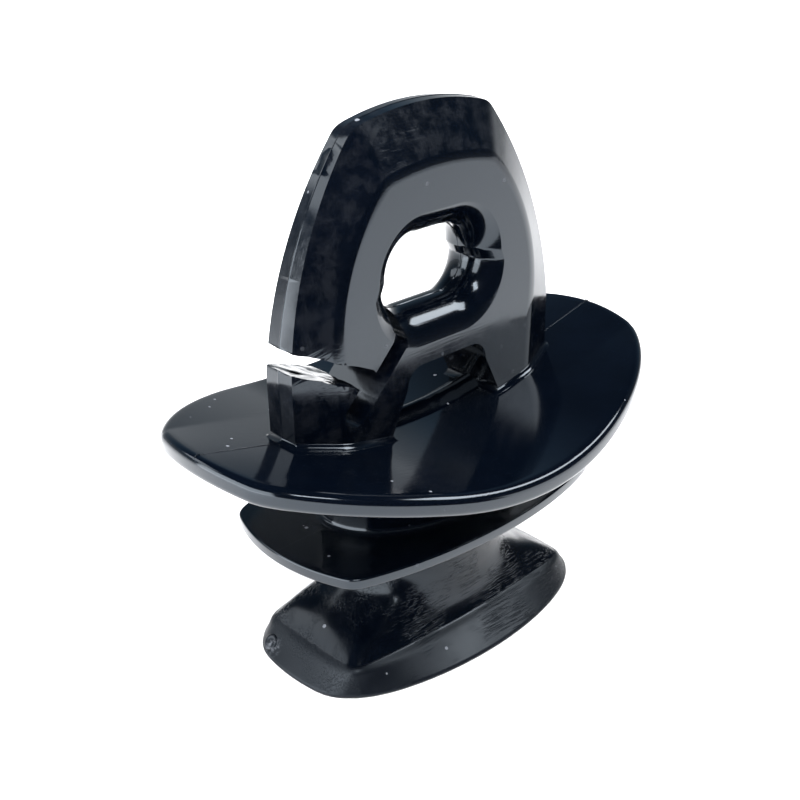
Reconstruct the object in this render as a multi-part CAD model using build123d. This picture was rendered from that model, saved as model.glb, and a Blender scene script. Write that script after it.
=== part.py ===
from build123d import *
import os

# Cleat horn with a jam slot, moulded in black acetal.
# Millimetres, Z up. The origin is the middle of the foot's flat underside.
# X runs along the flanges, Y across them, and the plane Y = 0 is the mould's parting plane.
# The moulding is divided into its members, which meet face to face.

# Foot: a flat pad with bowed sides that draw in towards its upper edge
FOOT_HEIGHT = 3.1
FOOT_BASE = dict(bow_length=24.6, half_width=12.5, corner_x=19.2, end_x=20.4, corner_radius=3.0)
FOOT_TOP = dict(bow_length=34.5, half_width=8.9, corner_x=17.3, end_x=17.5, corner_radius=1.5)

# Lower flange
LOWER_FLANGE_TOP = 16.7
LOWER_FLANGE_THICKNESS = 1.35
LOWER_FLANGE = dict(bow_length=28.7, half_width=13.1, corner_x=18.8, end_x=21.1, corner_radius=0.8)
LOWER_RIM_ROUND = 0.3

# Neck: half length and half width of its oval sections, from the foot up
NECK_FOOT = (17.0, 8.6)
NECK_SECTIONS = ((6.0, 12.6, 8.0), (9.0, 10.6, 7.5), (12.5, 11.2, 8.2))
NECK_HEAD = (14.2, 10.6)

# Stem between the flanges
STEM_HALF_LENGTH = 13.2
STEM_HALF_WIDTH = 8.6

# Upper flange: an oval sheet with cut ends, level in the middle, with rising wings
UPPER_FLANGE = dict(bow_length=31.2, half_width=20.0, corner_x=28.64, end_x=30.0, corner_radius=1.6)
UPPER_FLANGE_TOP = 25.9
UPPER_FLANGE_THICKNESS = 2.4
WING_START = 12.0
WING_SLOPE = 0.235
RIM_ROUND = 0.8

# Arch: flat faces, a wide bevel round them and a narrow outer edge
FACE_Y = 4.05
EDGE_Y = 1.6
EDGE_OUTLINE = dict(corner=(9.6, 59.6), crown_z=61.0, shoulder=(16.3, 48.4), hip=(19.2, 35.9))
FACE_OUTLINE = dict(corner=(7.4, 54.45), crown_z=55.3, shoulder=(12.6, 47.3), hip=(14.3, 38.4))
EDGE_FOOT_X = 19.2
FACE_FOOT_X = 13.4
ARCH_SKIRT_Z = 22.0

# Eye through the arch, with a rounded mouth on both faces
EYE_BOTTOM = 39.55
EYE_TOP = 47.5
EYE_HALF_WIDTH_BOTTOM = 6.7
EYE_HALF_WIDTH_TOP = 6.2
EYE_CORNER_RADIUS = 2.6
EYE_MOUTH_RADIUS = 2.9

# Window between the eye and the upper flange
WINDOW_CENTRE_X = 0.7
WINDOW_TOP = 33.95
WINDOW_HALF_TOP = 5.9
WINDOW_HALF_BOTTOM = 9.0
WINDOW_CORNER_RADIUS = 2.2

# Jam slot: four straight runs (start, end, width) down from the eye and out through the slit
SLOT_RUNS = (
    ((-6.3, 41.0), (-5.8, 37.5), 1.5),
    ((-5.97, 37.4), (-10.5, 32.75), 2.1),
    ((-10.8, 33.0), (-12.47, 31.3), 2.9),
    ((-10.8, 34.7), (-24.0, 40.3), 2.2),
)

# Planes that divide the arch into its members
MEMBER_SPLIT_Z = 43.5
SILL_SPLIT_X = 6.6

# Share of the corner's X at which a flange's oval side has its second point
SIDE_POINT_SHARE = 0.55

# Reach of the cutting shapes, past everything else
BIG = 100.0
STEM_REACH = 25.0
WING_OVERHANG = 5.0


def bowed_outline(bow_length, half_width, corner_x, end_x, corner_radius, z):
    """Flat outline with two oval sides and two shallow arcs across its ends."""
    corner_y = half_width * (1 - (corner_x / bow_length) ** 2) ** 0.5
    side_x = corner_x * SIDE_POINT_SHARE
    side_y = half_width * (1 - (side_x / bow_length) ** 2) ** 0.5
    with BuildSketch(Plane.XY.offset(z)) as sketch:
        with BuildLine():
            Spline(
                (-corner_x, -corner_y), (-side_x, -side_y), (0, -half_width),
                (side_x, -side_y), (corner_x, -corner_y),
            )
            ThreePointArc((corner_x, -corner_y), (end_x, 0), (corner_x, corner_y))
            Spline(
                (corner_x, corner_y), (side_x, side_y), (0, half_width),
                (-side_x, side_y), (-corner_x, corner_y),
            )
            ThreePointArc((-corner_x, corner_y), (-end_x, 0), (-corner_x, -corner_y))
        make_face()
        fillet(sketch.vertices(), corner_radius)
    return sketch.sketch


def foot_block():
    """Pad at the bottom, wider at its base."""
    return loft([bowed_outline(**FOOT_BASE, z=0), bowed_outline(**FOOT_TOP, z=FOOT_HEIGHT)], ruled=True)


def oval(half_length, half_width, z):
    """Oval section of the neck or the stem."""
    return Plane.XY.offset(z) * Ellipse(half_length, half_width)


def neck():
    """Waisted oval column between the foot and the lower flange."""
    underside = LOWER_FLANGE_TOP - LOWER_FLANGE_THICKNESS
    sections = [oval(*NECK_FOOT, FOOT_HEIGHT)]
    sections += [oval(length, width, z) for z, length, width in NECK_SECTIONS]
    sections.append(oval(*NECK_HEAD, underside))
    return loft(sections)


def lower_flange():
    """Thin flat flange."""
    plate = extrude(bowed_outline(**LOWER_FLANGE, z=LOWER_FLANGE_TOP), -LOWER_FLANGE_THICKNESS)
    return fillet(plate.faces().sort_by(Axis.Z)[-1].edges(), LOWER_RIM_ROUND)


def wing_height(x):
    """Height of the upper flange's top above its middle, at x."""
    run = abs(x)
    if run < WING_START:
        return WING_SLOPE * run ** 2 / (2 * WING_START)
    return WING_SLOPE * (run - WING_START / 2)


def wing_profile(top, bottom):
    """Side profile of a layer that follows the upper flange from bottom to top."""
    reach = UPPER_FLANGE["end_x"] + WING_OVERHANG
    start = WING_START
    with BuildSketch(Plane.XZ) as sketch:
        with BuildLine():
            for z in (top, bottom):
                Line((-reach, z + wing_height(reach)), (-start, z + wing_height(start)))
                ThreePointArc(
                    (-start, z + wing_height(start)), (0, z), (start, z + wing_height(start))
                )
                Line((start, z + wing_height(start)), (reach, z + wing_height(reach)))
            Line((reach, top + wing_height(reach)), (reach, bottom + wing_height(reach)))
            Line((-reach, top + wing_height(reach)), (-reach, bottom + wing_height(reach)))
        make_face()
    return extrude(sketch.sketch, BIG, both=True)


def upper_flange():
    """Saddle-shaped oval sheet with a rounded rim."""
    layer = wing_profile(UPPER_FLANGE_TOP, UPPER_FLANGE_TOP - UPPER_FLANGE_THICKNESS)
    column = extrude(bowed_outline(**UPPER_FLANGE, z=0), BIG)
    sheet = layer & column
    upper_rim = sheet.faces().sort_by(SortBy.AREA)[-1].edges()
    return fillet(upper_rim, RIM_ROUND)


def below_upper_flange():
    """Space under the upper flange."""
    return wing_profile(UPPER_FLANGE_TOP - UPPER_FLANGE_THICKNESS, -BIG)


def above_upper_flange():
    """Space above the upper flange."""
    return wing_profile(BIG, UPPER_FLANGE_TOP)


def stem():
    """Oval column in the groove between the two flanges."""
    column = extrude(oval(STEM_HALF_LENGTH, STEM_HALF_WIDTH, LOWER_FLANGE_TOP), STEM_REACH)
    return column & below_upper_flange()


def arch_outline(y, corner, crown_z, shoulder, hip, foot_x):
    """Outline of the arch in a plane at y."""
    (cx, cz), (sx, sz), (hx, hz) = corner, shoulder, hip
    with BuildSketch(Plane.XZ.offset(-y)) as sketch:
        with BuildLine():
            ThreePointArc((-cx, cz), (0, crown_z), (cx, cz))
            ThreePointArc((cx, cz), (sx, sz), (hx, hz))
            Line((hx, hz), (foot_x, ARCH_SKIRT_Z))
            Line((foot_x, ARCH_SKIRT_Z), (-foot_x, ARCH_SKIRT_Z))
            Line((-foot_x, ARCH_SKIRT_Z), (-hx, hz))
            ThreePointArc((-hx, hz), (-sx, sz), (-cx, cz))
        make_face()
    return sketch.sketch


def arch_block():
    """Whole arch before its eye, window and slot are cut."""
    edge = arch_outline(-EDGE_Y, **EDGE_OUTLINE, foot_x=EDGE_FOOT_X)
    face = arch_outline(-FACE_Y, **FACE_OUTLINE, foot_x=FACE_FOOT_X)
    bevel = loft([face, edge], ruled=True)
    core = extrude(edge, -2 * EDGE_Y)
    return core + bevel + mirror(bevel, about=Plane.XZ)


def through_cut(sketch):
    """Cutter from one side of the arch to the other."""
    return extrude(sketch, BIG, both=True)


def eye_sketch():
    """Rounded trapezium of the eye at its narrowest."""
    low, high = EYE_HALF_WIDTH_BOTTOM, EYE_HALF_WIDTH_TOP
    with BuildSketch(Plane.XZ) as sketch:
        Polygon((-low, EYE_BOTTOM), (low, EYE_BOTTOM), (high, EYE_TOP), (-high, EYE_TOP), align=None)
        fillet(sketch.vertices(), EYE_CORNER_RADIUS)
    return sketch.sketch


def window_sketch():
    """Opening under the eye, which runs down past the upper flange's top."""
    left, right = WINDOW_CENTRE_X - WINDOW_HALF_TOP, WINDOW_CENTRE_X + WINDOW_HALF_TOP
    low_left, low_right = WINDOW_CENTRE_X - WINDOW_HALF_BOTTOM, WINDOW_CENTRE_X + WINDOW_HALF_BOTTOM
    with BuildSketch(Plane.XZ) as sketch:
        Polygon(
            (low_left, ARCH_SKIRT_Z), (low_right, ARCH_SKIRT_Z), (low_right, UPPER_FLANGE_TOP),
            (right, WINDOW_TOP), (left, WINDOW_TOP), (low_left, UPPER_FLANGE_TOP), align=None,
        )
        fillet(sketch.vertices().group_by(Axis.Z)[-1], WINDOW_CORNER_RADIUS)
    return sketch.sketch


def slot_run(start, end, width):
    """One straight run of the jam slot, with round ends."""
    run = Vector(*end) - Vector(*start)
    middle = (Vector(*start) + Vector(*end)) / 2
    angle = Vector(1, 0).get_signed_angle(run, Vector(0, 0, 1))
    with BuildSketch(Plane.XZ) as sketch:
        with Locations((middle.X, middle.Y)):
            SlotCenterToCenter(run.length, width, rotation=angle)
    return through_cut(sketch.sketch)


def arch():
    """Arch with its eye, window and jam slot, standing on the upper flange."""
    body = arch_block() - through_cut(eye_sketch())
    faces = body.faces().filter_by(Axis.Y).sort_by(Axis.Y)
    mouths = [edge for face in (faces[0], faces[-1]) for wire in face.inner_wires() for edge in wire.edges()]
    body = fillet(mouths, EYE_MOUTH_RADIUS)
    body -= through_cut(window_sketch())
    for run in SLOT_RUNS:
        body -= slot_run(*run)
    return body & above_upper_flange()


def region(x_low, x_high, z_low, z_high):
    """Box across the whole thickness of the arch."""
    size = (x_high - x_low, BIG, z_high - z_low)
    return Pos((x_low + x_high) / 2, 0, (z_low + z_high) / 2) * Box(*size)


def arch_members():
    """The arch divided into its crown, hanging horn, jam post, eye sill and closed leg."""
    whole = arch()
    crown = whole & region(-BIG, BIG, MEMBER_SPLIT_Z, BIG)
    lower = whole & region(-BIG, BIG, 0, MEMBER_SPLIT_Z)
    closed_leg = lower & region(SILL_SPLIT_X, BIG, 0, MEMBER_SPLIT_Z)
    left = lower & region(-BIG, SILL_SPLIT_X, 0, MEMBER_SPLIT_Z)
    standing, hanging_horn = left.solids().sort_by(Axis.Z)
    slot_end_x, slot_end_z = SLOT_RUNS[2][1]
    outside_slot = standing - region(slot_end_x, BIG, 0, slot_end_z)
    jam_post = outside_slot.solids().sort_by(Axis.X)[0]
    return {
        "crown": crown,
        "hanging_horn": hanging_horn,
        "jam_post": jam_post,
        "eye_sill": standing - jam_post,
        "closed_leg": closed_leg,
    }


def main():
    """Builds every member and writes one STEP file for each."""
    members = {
        "foot_block": foot_block(),
        "neck": neck(),
        "lower_flange": lower_flange(),
        "stem": stem(),
        "upper_flange": upper_flange(),
    }
    members.update(arch_members())
    os.makedirs("parts", exist_ok=True)
    for name, solid in members.items():
        export_step(solid, f"parts/{name}.step")
        print(name, len(solid.solids()), round(solid.volume, 1))


main()
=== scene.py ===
"""Looks of the moulded cleat horn, built round its packed members.

Lengths are in millimetres until each mesh is finished, and in metres in the scene.
X runs along the flanges, Y across them, Z up, and Y = 0 is the mould's parting plane.
"""

import logging
import math
from dataclasses import dataclass, field
from enum import Enum
from typing import Callable, Sequence

import bmesh
import bpy
from mathutils import Matrix, Vector, noise


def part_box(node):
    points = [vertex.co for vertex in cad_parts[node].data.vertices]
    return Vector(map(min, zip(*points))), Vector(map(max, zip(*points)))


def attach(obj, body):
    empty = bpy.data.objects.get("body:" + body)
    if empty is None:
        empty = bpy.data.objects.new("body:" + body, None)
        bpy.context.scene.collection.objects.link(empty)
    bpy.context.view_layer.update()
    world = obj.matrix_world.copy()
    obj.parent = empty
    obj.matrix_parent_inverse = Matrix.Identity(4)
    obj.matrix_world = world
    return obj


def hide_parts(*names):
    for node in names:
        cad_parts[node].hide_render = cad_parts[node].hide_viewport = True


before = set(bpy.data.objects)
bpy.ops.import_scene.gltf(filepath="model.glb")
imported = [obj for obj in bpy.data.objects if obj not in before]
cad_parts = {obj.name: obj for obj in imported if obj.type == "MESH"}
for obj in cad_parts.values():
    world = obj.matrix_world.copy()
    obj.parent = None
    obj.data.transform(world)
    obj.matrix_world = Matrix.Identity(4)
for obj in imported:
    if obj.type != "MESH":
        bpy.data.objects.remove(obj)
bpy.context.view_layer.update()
LOG = logging.getLogger("cleat_horn")

MM = 0.001
ROOT = "root"
QUARTER = math.pi / 2
Placer = Callable[..., Vector]


class MaterialSlot(Enum):
    """Material slots of the record."""

    GLOSS = "gloss_black"
    SATIN = "satin_black"


class Side(Enum):
    """Ends of the object along X."""

    SLIT = -1
    CLOSED = 1


# ---------------------------------------------------------------- mesh helpers


def top_of(node: str) -> float:
    """Height of a packed member's top.

    Args:
        node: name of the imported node.

    Returns:
        The height, in millimetres.
    """
    _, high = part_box(node)
    return (Vector(high) / MM).z


def stack_rings(rows: Sequence[tuple], count: int, place: Placer) -> bmesh.types.BMesh:
    """Grows a closed tube ring by ring and closes both ends.

    Args:
        rows: sizes of each ring.
        count: stations round each ring.
        place: gives a station's place from its number and its ring's sizes.

    Returns:
        The closed mesh.
    """
    mesh = bmesh.new()
    station = mesh.verts.layers.int.new("station")
    verts = bmesh.ops.create_circle(mesh, segments=count, radius=1.0)["verts"]
    for index, vert in enumerate(verts):
        vert[station] = index
        vert.co = place(index, *rows[0])
    edges = mesh.edges[:]
    for row in rows[1:]:
        grown = bmesh.ops.extrude_edge_only(mesh, edges=edges)["geom"]
        fresh = {item for item in grown if isinstance(item, bmesh.types.BMVert)}
        for vert in fresh:
            vert.co = place(vert[station], *row)
        edges = [
            item for item in grown
            if isinstance(item, bmesh.types.BMEdge) and fresh.issuperset(item.verts)
        ]
    bmesh.ops.holes_fill(mesh, edges=[edge for edge in mesh.edges if edge.is_boundary], sides=0)
    bmesh.ops.recalc_face_normals(mesh, faces=mesh.faces)
    return mesh


def bevel_edges(
    mesh: bmesh.types.BMesh, edges: Sequence[bmesh.types.BMEdge], width: float, segments: int,
) -> None:
    """Rounds edges.

    Args:
        mesh: mesh to change.
        edges: edges to round.
        width: width of the round.
        segments: steps across the round.
    """
    bmesh.ops.bevel(
        mesh, geom=list(edges), offset=width, offset_type="OFFSET", segments=segments,
        profile=0.5, affect="EDGES", material=-1, clamp_overlap=True,
    )


def make_object(name: str, mesh: bmesh.types.BMesh, smooth: bool = True) -> bpy.types.Object:
    """Turns a finished mesh in millimetres into an object in metres at the origin.

    Args:
        name: name of the object.
        mesh: the mesh, which is freed.
        smooth: whether its faces are shaded smooth.

    Returns:
        The new object.
    """
    bmesh.ops.scale(mesh, vec=(MM, MM, MM), verts=mesh.verts)
    for face in mesh.faces:
        face.smooth = smooth
    data = bpy.data.meshes.new(name)
    mesh.to_mesh(data)
    mesh.free()
    piece = bpy.data.objects.new(name, data)
    bpy.context.scene.collection.objects.link(piece)
    return piece


def apply_modifiers(piece: bpy.types.Object) -> None:
    """Replaces an object's mesh with its modified mesh.

    Args:
        piece: object whose modifiers are applied and removed.
    """
    depsgraph = bpy.context.evaluated_depsgraph_get()
    data = bpy.data.meshes.new_from_object(piece.evaluated_get(depsgraph))
    piece.modifiers.clear()
    piece.data = data


def cut_with(piece: bpy.types.Object, cutters: Sequence[bpy.types.Object]) -> None:
    """Takes cutters away from an object, then deletes them.

    Args:
        piece: object to cut.
        cutters: closed objects to take away.
    """
    for cutter in cutters:
        cut = piece.modifiers.new(cutter.name, "BOOLEAN")
        cut.operation = "DIFFERENCE"
        cut.solver = "EXACT"
        cut.object = cutter
    apply_modifiers(piece)
    for cutter in cutters:
        bpy.data.objects.remove(cutter)


def soften(piece: bpy.types.Object, width: float, angle: float, segments: int = 3) -> None:
    """Rounds an object's sharp edges and keeps its flat faces flat in shading.

    Args:
        piece: object to finish.
        width: width of the round, in millimetres.
        angle: smallest angle between faces that is rounded, in degrees.
        segments: steps across the round.
    """
    rounding = piece.modifiers.new("edge_round", "BEVEL")
    rounding.width = width * MM
    rounding.segments = segments
    rounding.limit_method = "ANGLE"
    rounding.angle_limit = math.radians(angle)
    rounding.miter_outer = "MITER_ARC"
    weighting = piece.modifiers.new("face_weight", "WEIGHTED_NORMAL")
    weighting.weight = 100
    weighting.keep_sharp = False
    apply_modifiers(piece)
    for polygon in piece.data.polygons:
        polygon.use_smooth = True


# ---------------------------------------------------------------- outlines


@dataclass(frozen=True)
class Bowed:
    """Flat outline with two oval sides and two shallow arcs across its ends."""

    bow_length: float
    half_width: float
    corner_x: float
    end_x: float

    def width_at(self, x: float) -> float:
        """Half width of the oval sides at x."""
        return self.half_width * math.sqrt(max(0.0, 1 - (x / self.bow_length) ** 2))

    def end_at(self, share: float) -> float:
        """Reach of the end arc at a share of the corner's half width."""
        return self.end_x - (self.end_x - self.corner_x) * share ** 2

    def point(self, angle: float, squareness: float) -> Vector:
        """Point on the outline with its corners rounded.

        Args:
            angle: direction from the middle, in radians.
            squareness: the higher, the smaller the corner's round.

        Returns:
            The point, at height 0.
        """
        cos, sin = math.cos(angle), math.sin(angle)
        corner_y = self.width_at(self.corner_x)
        near, far = 0.0, self.end_x + self.half_width
        for _ in range(36):
            radius = (near + far) / 2
            x, y = radius * cos, radius * sin
            across = abs(y) / max(self.width_at(min(abs(x), self.end_x)), 1e-6)
            along = abs(x) / self.end_at(min(1.0, abs(y) / corner_y))
            if across ** squareness + along ** squareness < 1:
                near = radius
            else:
                far = radius
        return Vector((near * cos, near * sin, 0))


def even_stations(outline: Bowed, squareness: float, count: int, bend_share: float = 5.0) -> list[Vector]:
    """Stations round an outline, closer together round its corners.

    Args:
        outline: the outline.
        squareness: the higher, the smaller the corners' round.
        count: number of stations.
        bend_share: length that a full radian of turn counts for.

    Returns:
        Their places at height 0, anticlockwise.
    """
    fine = 3600
    angles = [2 * math.pi * index / fine for index in range(fine)]
    path = [
        outline.point(math.atan2(outline.half_width * math.sin(a), outline.end_x * math.cos(a)), squareness)
        for a in angles
    ]
    weights = []
    for index, spot in enumerate(path):
        before = spot - path[index - 1]
        after = path[(index + 1) % fine] - spot
        weights.append(after.length + bend_share * before.angle(after, 0.0))
    whole = sum(weights)
    stations, passed = [], 0.0
    for spot, weight in zip(path, weights):
        while passed >= whole * len(stations) / count - 1e-9 and len(stations) < count:
            stations.append(spot.copy())
        passed += weight
    return stations


def outward_normals(path: Sequence[Vector]) -> list[Vector]:
    """Outward directions of an anticlockwise outline in the XY plane.

    Args:
        path: the outline's stations.

    Returns:
        One unit vector for each station.
    """
    normals = []
    for index, _ in enumerate(path):
        along = path[(index + 1) % len(path)] - path[index - 1]
        normals.append(Vector((along.y, -along.x, 0)).normalized())
    return normals


@dataclass(frozen=True)
class ArchOutline:
    """Outline of the arch in a plane of constant Y: a crown arc, side arcs and straight feet."""

    corner: tuple[float, float]
    crown_z: float
    shoulder: tuple[float, float]
    hip: tuple[float, float]
    foot_x: float
    skirt_z: float
    softening: int = 4
    shares: tuple[int, int, int, int] = (40, 64, 24, 32)

    @property
    def count(self) -> int:
        """Stations round the whole outline."""
        top, side, leg, base = self.shares
        return top + base + 2 * (side + leg)

    def stations(self) -> list[Vector]:
        """Places of all stations.

        Returns:
            The places at Y = 0, clockwise from the crown's left corner, seen from the front.
        """
        top, side, leg, base = self.shares
        (cx, cz), (sx, sz), (hx, hz) = self.corner, self.shoulder, self.hip
        fx, fz = self.foot_x, self.skirt_z
        path = arc((-cx, cz), (0, self.crown_z), (cx, cz), top)
        path += arc((cx, cz), (sx, sz), (hx, hz), side)
        path += run((hx, hz), (fx, fz), leg)
        path += run((fx, fz), (-fx, fz), base)
        path += run((-fx, fz), (-hx, hz), leg)
        path += arc((-hx, hz), (-sx, sz), (-cx, cz), side)
        spots = [Vector((x, 0, z)) for x, z in path]
        for _ in range(self.softening):
            spots = [
                spot * 0.5 + (spots[index - 1] + spots[(index + 1) % len(spots)]) * 0.25
                if spot.z > self.hip[1] + 2 else spot
                for index, spot in enumerate(spots)
            ]
        return spots


def run(start: tuple, end: tuple, count: int) -> list[tuple]:
    """Evenly spaced points of a straight run, without its end.

    Args:
        start: first point.
        end: point after the last one.
        count: number of points.

    Returns:
        The points.
    """
    return [
        (start[0] + (end[0] - start[0]) * i / count, start[1] + (end[1] - start[1]) * i / count)
        for i in range(count)
    ]


def arc(start: tuple, via: tuple, end: tuple, count: int) -> list[tuple]:
    """Evenly spaced points of an arc through three points, without its end.

    Args:
        start: first point.
        via: a point between the ends.
        end: point after the last one.
        count: number of points.

    Returns:
        The points.
    """
    (ax, ay), (bx, by), (cx, cy) = start, via, end
    d = 2 * (ax * (by - cy) + bx * (cy - ay) + cx * (ay - by))
    a2, b2, c2 = ax * ax + ay * ay, bx * bx + by * by, cx * cx + cy * cy
    ux = (a2 * (by - cy) + b2 * (cy - ay) + c2 * (ay - by)) / d
    uy = (a2 * (cx - bx) + b2 * (ax - cx) + c2 * (bx - ax)) / d
    radius = math.hypot(ax - ux, ay - uy)
    first, last = math.atan2(ay - uy, ax - ux), math.atan2(cy - uy, cx - ux)
    sweep = (last - first + math.pi) % (2 * math.pi) - math.pi
    return [
        (ux + radius * math.cos(first + sweep * i / count), uy + radius * math.sin(first + sweep * i / count))
        for i in range(count)
    ]


# ---------------------------------------------------------------- members


@dataclass(frozen=True)
class WingCurve:
    """Rise of the upper flange from its level middle to its straight wings."""

    start: float = 12.0
    slope: float = 0.235

    def rise(self, x: float) -> float:
        """Height above the middle.

        Args:
            x: place along the flange.

        Returns:
            The height there.
        """
        reach = abs(x)
        if reach < self.start:
            return self.slope * reach ** 2 / (2 * self.start)
        return self.slope * (reach - self.start / 2)


@dataclass
class Plate:
    """A flange: a bowed sheet with rounded rims."""

    node: str
    outline: Bowed
    squareness: float
    thickness: float
    top_round: float
    under_round: float
    wing: WingCurve | None = None
    end_droop: float = 0.0
    count: int = 360
    inner_rings: int = 44
    rim_steps: int = 8
    slot: MaterialSlot = MaterialSlot.GLOSS
    middle_z: float = field(init=False)

    def __post_init__(self) -> None:
        """Finds the height of the top at the middle."""
        self.middle_z = top_of(self.node)
        if self.wing is not None:
            self.middle_z -= self.wing.rise(self.outline.end_x)

    def top_z(self, x: float, y: float) -> float:
        """Height of the top face.

        Args:
            x: place along the flange.
            y: place across it.

        Returns:
            The height there.
        """
        if self.wing is None:
            return self.middle_z
        corner = self.outline.width_at(self.outline.corner_x)
        droop = self.end_droop * (abs(x) / self.outline.end_x) ** 4 * min(1.0, (y / corner) ** 2)
        return self.middle_z + self.wing.rise(x) - droop

    def profile(self) -> list[tuple[float, float, float]]:
        """Section from the middle of the underside, round the rim, to the middle of the top.

        Returns:
            Share of the way out, inset at the rim and depth under the top, for each ring.
        """
        shares = [0.012] + [(i / self.inner_rings) ** 0.9 for i in range(2, self.inner_rings + 1)]
        under = [(share, self.under_round, self.thickness) for share in shares]
        turns = [QUARTER * i / self.rim_steps for i in range(self.rim_steps + 1)]
        rim = [
            (1.0, self.under_round * (1 - math.sin(turn)),
             self.thickness - self.under_round * (1 - math.cos(turn)))
            for turn in turns[1:]
        ]
        rim += [
            (1.0, self.top_round * (1 - math.cos(turn)), self.top_round * (1 - math.sin(turn)))
            for turn in turns[:-1]
        ]
        over = [(share, self.top_round, 0.0) for share in reversed(shares)]
        return under + rim + over

    def build(self) -> bpy.types.Object:
        """Builds the sheet ring by ring.

        Returns:
            The flange.
        """
        stations = even_stations(self.outline, self.squareness, self.count)
        normals = outward_normals(stations)

        def place(index: int, share: float, inset: float, depth: float) -> Vector:
            """Finds a station's place.

            Args:
                index: number of the station.
                share: share of the way out from the middle.
                inset: distance inside the rim, at the rim.
                depth: distance under the top.

            Returns:
                The place.
            """
            spot = (stations[index] - normals[index] * inset) * share
            spot.z = self.top_z(spot.x, spot.y) - depth
            return spot

        return make_object(self.node + "_skin", stack_rings(self.profile(), self.count, place))


@dataclass(frozen=True)
class SectionCurve:
    """Sizes of a section that change smoothly with height."""

    rows: Sequence[tuple[float, float, float, float]]

    def at(self, z: float) -> tuple[float, float, float]:
        """Half length, half width and squareness at a height.

        Args:
            z: height.

        Returns:
            The three sizes there.
        """
        rows = self.rows
        index = min(max(i for i, row in enumerate(rows) if z >= row[0] - 1e-6), len(rows) - 2)
        share = (z - rows[index][0]) / (rows[index + 1][0] - rows[index][0])
        return tuple(self.blend(index, share, item) for item in (1, 2, 3))

    def slope(self, index: int, item: int) -> float:
        """Slope of one size at a row."""
        before, after = self.rows[max(index - 1, 0)], self.rows[min(index + 1, len(self.rows) - 1)]
        return (after[item] - before[item]) / (after[0] - before[0])

    def blend(self, index: int, share: float, item: int) -> float:
        """Blends one size between two rows with a cubic curve.

        Args:
            index: number of the lower row.
            share: share of the way up to the next row.
            item: place of the size in its row.

        Returns:
            The size there.
        """
        start, end = self.rows[index], self.rows[index + 1]
        height, t = end[0] - start[0], share
        return (
            (2 * t ** 3 - 3 * t ** 2 + 1) * start[item]
            + (t ** 3 - 2 * t ** 2 + t) * height * self.slope(index, item)
            + (3 * t ** 2 - 2 * t ** 3) * end[item]
            + (t ** 3 - t ** 2) * height * self.slope(index + 1, item)
        )


@dataclass
class Stem:
    """Oval column between the flanges, with a small cove at each end."""

    wing: WingCurve
    flange_z: float
    flange_thickness: float = 2.4
    half_length: float = 13.2
    half_width: float = 8.6
    cove: float = 0.7
    cove_steps: int = 6
    sink: float = 0.3
    count: int = 240
    slot: MaterialSlot = MaterialSlot.GLOSS

    def build(self) -> bpy.types.Object:
        """Builds the column ring by ring.

        Returns:
            The stem.
        """
        low = top_of("lower_flange")
        under = self.flange_z - self.flange_thickness

        def place(index: int, share: float, flare: float, lift: float) -> Vector:
            """Finds a station's place.

            Args:
                index: number of the station.
                share: share of the way up between the flanges.
                flare: distance outside the column.
                lift: height added.

            Returns:
                The place.
            """
            angle = 2 * math.pi * index / self.count
            x = (self.half_length + flare) * math.cos(angle)
            y = (self.half_width + flare) * math.sin(angle)
            top = under + self.wing.rise(x)
            return Vector((x, y, low + (top - low) * share + lift))

        turns = [QUARTER * i / self.cove_steps for i in range(self.cove_steps + 1)]
        coves = [(self.cove * (1 - math.sin(turn)), self.cove * (1 - math.cos(turn))) for turn in turns]
        rows = [(0, self.cove, -self.sink)] + [(0, flare, lift) for flare, lift in coves]
        rows += [(share / 6, 0, self.cove * (1 - share / 3)) for share in range(1, 6)]
        rows += [(1, flare, -lift) for flare, lift in reversed(coves)] + [(1, self.cove, self.sink)]
        return make_object("stem_skin", stack_rings(rows, self.count, place))


@dataclass
class SeamBead:
    """Fine raised line where the two halves of the mould met."""

    name: str
    path: Sequence[tuple[float, float]]
    width: float = 0.085
    unevenness: float = 0.3
    flatness: float = 0.6
    count: int = 8
    slot: MaterialSlot = MaterialSlot.GLOSS

    def build(self) -> bpy.types.Object:
        """Builds a fine tube along a path in the plane Y = 0.

        Returns:
            The bead.
        """
        spots = [Vector((x, 0, z)) for x, z in self.path]

        def place(index: int, number: int) -> Vector:
            """Finds a station's place.

            Args:
                index: number of the station round the bead.
                number: number of the spot on the path.

            Returns:
                The place.
            """
            along = (spots[min(number + 1, len(spots) - 1)] - spots[max(number - 1, 0)]).normalized()
            side = Vector((-along.z, 0, along.x))
            swell = self.width * (1 + self.unevenness * noise.noise(spots[number] * 0.9))
            angle = 2 * math.pi * index / self.count
            out = side * (swell * self.flatness * math.sin(angle))
            return spots[number] + out + Vector((0, swell * math.cos(angle), 0))

        rows = [(number,) for number in range(len(spots))]
        return make_object(self.name, stack_rings(rows, self.count, place))


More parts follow.
